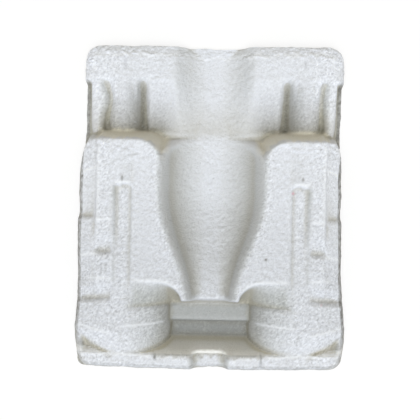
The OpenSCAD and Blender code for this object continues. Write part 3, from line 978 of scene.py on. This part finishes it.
# Grey painted shade on walls that face the middle, on the falls, the slot walls and the pocket.
colour = (stored("lean") * 0.8).clamp(0, 0.6).tint(PALE, SHADE_GREY)
colour = (stored("grey_shade") * 0.8).clamp().tint(colour, SHADE_GREY)
warm_shade_share = hollow_shade + stored("warm_shade") * 0.8 + (crest_w * -0.4).clamp()
colour = warm_shade_share.clamp().tint(colour, WARM_SHADE)
colour = (stored("tan") * 0.85).tint(colour, TAN)
colour = (stored("valley") * 0.85).tint(colour, SHADE)
colour = (stored("flange") * 0.5).tint(colour, OLIVE)
# Painted highlights on crests and along the edges of forms.
colour = (crest_w * 0.15 + highlight_w * 0.9).clamp().tint(colour, BRIGHT)
print("colours laid over the pale pulp:", len(pulp.node_tree.nodes), "nodes")

# %% [markdown]
# The painted light and shade of the tone and the stipple then scale the colour of the whole, and
# the fibres, the cut edge's painted shade, the marks and the cracks' painted shade lie on top. The
# same fibres also raise the surface through a Bump node, because real fibres would need far too
# many faces.

# %% Pulp material
shade = 1.0 + stored("light_and_shade") + stored("grit") * 0.085
colour = start.make("ShaderNodeVectorMath", {"operation": "SCALE"}, {0: colour, "Scale": shade})
shed = ((fibre - 0.5) * 0.9 + (blotch - 0.5) * 0.3) * (1.0 - highlight_w * 0.8)
colour = shed.clamp().tint(colour, SHED)
cut_edge_dark = (stored("cut_edge_shade") * (0.85 + 2.6 * (noise(250, 2.0) - 0.5))).clamp()
colour = (cut_edge_dark + stored("mark_and_crack_shade") * 0.8).clamp().tint(colour, DARK)
colour = (stored("pink") * 0.7).clamp().tint(colour, PINK)
relief = fibre * 0.0008 + noise(900, 2.0, 0.5) * 0.0007
bumps = start.make("ShaderNodeBump", None, {"Strength": 1.0, "Distance": 1.0, "Height": relief})
paper = {"Base Color": colour, "Roughness": 0.95, "Specular IOR Level": 0.15, "Normal": bumps}
shader = start.make("ShaderNodeBsdfPrincipled", None, paper)
start.make("ShaderNodeOutputMaterial", None, {"Surface": shader})
mesh.materials.append(pulp)
print("pulp:", len(pulp.node_tree.nodes), "nodes")

# %% [markdown]
# ## In the frame
# The sheet rides on the pad's only body and stands for its solid, which stays for the physics.

# %% Put the sheet in the frame
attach(pad, "root")
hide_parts("pulp_pad")
print("in the frame:", pad.name)

# %% [markdown]
# ## Floor, light and camera
# The pad lies on a white floor, as on a page. A floor that is only lit would turn grey towards the
# edges of the picture, so it also glows a little for the camera, but casts no extra light.

# %% Floor
white_floor, start = new_finish("white_floor")
lit = start.make("ShaderNodeBsdfDiffuse", None, {"Color": (0.9, 0.9, 0.9, 1)})
glow = start.make("ShaderNodeEmission", None, {"Color": (1, 1, 1, 1), "Strength": 1.06})
camera_ray = start.make("ShaderNodeLightPath", None, None, "Is Camera Ray")
shown = start.make("ShaderNodeMixShader", None, {0: camera_ray * 0.75, 1: lit, 2: glow})
start.make("ShaderNodeOutputMaterial", None, {"Surface": shown})
floor_half = 6.0
floor_corners = [(-floor_half, -floor_half, 0), (floor_half, -floor_half, 0),
                 (floor_half, floor_half, 0), (-floor_half, floor_half, 0)]
floor_mesh = bpy.data.meshes.new("floor")
floor_mesh.from_pydata(floor_corners, [], [(0, 1, 2, 3)])
floor_mesh.materials.append(white_floor)
floor = bpy.data.objects.new("floor", floor_mesh)
bpy.context.scene.collection.objects.link(floor)
print("floor:", 2 * floor_half, "m wide")

# %% [markdown]
# Soft light from all around fills the shadows. It is cooler on one side and warmer on the other, as
# in a room with a window, and that tints the walls of the forms, together with the pulp's painted
# tan light and warm painted shade.

# %% Soft room
world = bpy.data.worlds.new("soft_room")
bpy.context.scene.world = world
world.use_nodes = True
world.node_tree.nodes.clear()
start = Wire(world.node_tree)
COOL_SIDE, WARM_SIDE = (0.98, 1.0, 1.04, 1), (0.52, 0.45, 0.30, 1)
camera_ray = start.make("ShaderNodeLightPath", None, None, "Is Camera Ray")
way = start.make("ShaderNodeTexCoord", None, None, "Generated")
way_y = start.make("ShaderNodeSeparateXYZ", None, {0: way}, "Y")
sky = (0.6 - way_y * 0.8).clamp().tint(WARM_SIDE, COOL_SIDE)
fill = start.make("ShaderNodeBackground", None, {"Color": sky, "Strength": 0.6})
back = start.make("ShaderNodeBackground", None, {"Color": (1, 1, 1, 1), "Strength": 1.0})
shown = start.make("ShaderNodeMixShader", None, {0: camera_ray, 1: fill, 2: back})
start.make("ShaderNodeOutputWorld", None, {"Surface": shown})
print("room:", len(world.node_tree.nodes), "nodes")

# %% [markdown]
# One large area lamp stands for the window. Its size makes the shadows soft, and its height of 72
# degrees leaves a little shade below each step.

# %% Window light
lamp_far, lamp_angle = 4.8, math.radians(72)
lamp_data = bpy.data.lights.new("window", "AREA")
lamp_data.size = 3.2
lamp_data.energy = 146.0
lamp_data.color = (0.96, 0.99, 1.0)
lamp = bpy.data.objects.new("window", lamp_data)
lamp.location = (0, -lamp_far * math.cos(lamp_angle), lamp_far * math.sin(lamp_angle))
lamp.rotation_euler = (math.pi / 2 - lamp_angle, 0, 0)
lamp.visible_camera = False
bpy.context.scene.collection.objects.link(lamp)
print("window at", [round(v, 2) for v in lamp.location], "m")

# %% [markdown]
# The camera hangs over the pad and looks straight down, turned by about a degree. Its lens is given
# by the focal length in pixels, which ties a millimetre on the pad to a place in the picture.

# %% Camera
focal_px, picture_px, sensor_mm = 643, 420, 36
camera_data = bpy.data.cameras.new("overhead")
camera_data.sensor_width = sensor_mm
camera_data.lens = focal_px / picture_px * sensor_mm
camera = bpy.data.objects.new("overhead", camera_data)
camera_right, camera_back, camera_high, camera_turn = -1.4, -5.7, 610, math.radians(1.1)
camera.location = (camera_right * MM, camera_back * MM, camera_high * MM)
camera.rotation_euler = (0, 0, camera_turn)
bpy.context.scene.collection.objects.link(camera)
bpy.context.scene.camera = camera
bpy.context.scene.view_settings.view_transform = "Standard"
print("lens:", round(camera_data.lens, 1), "mm")
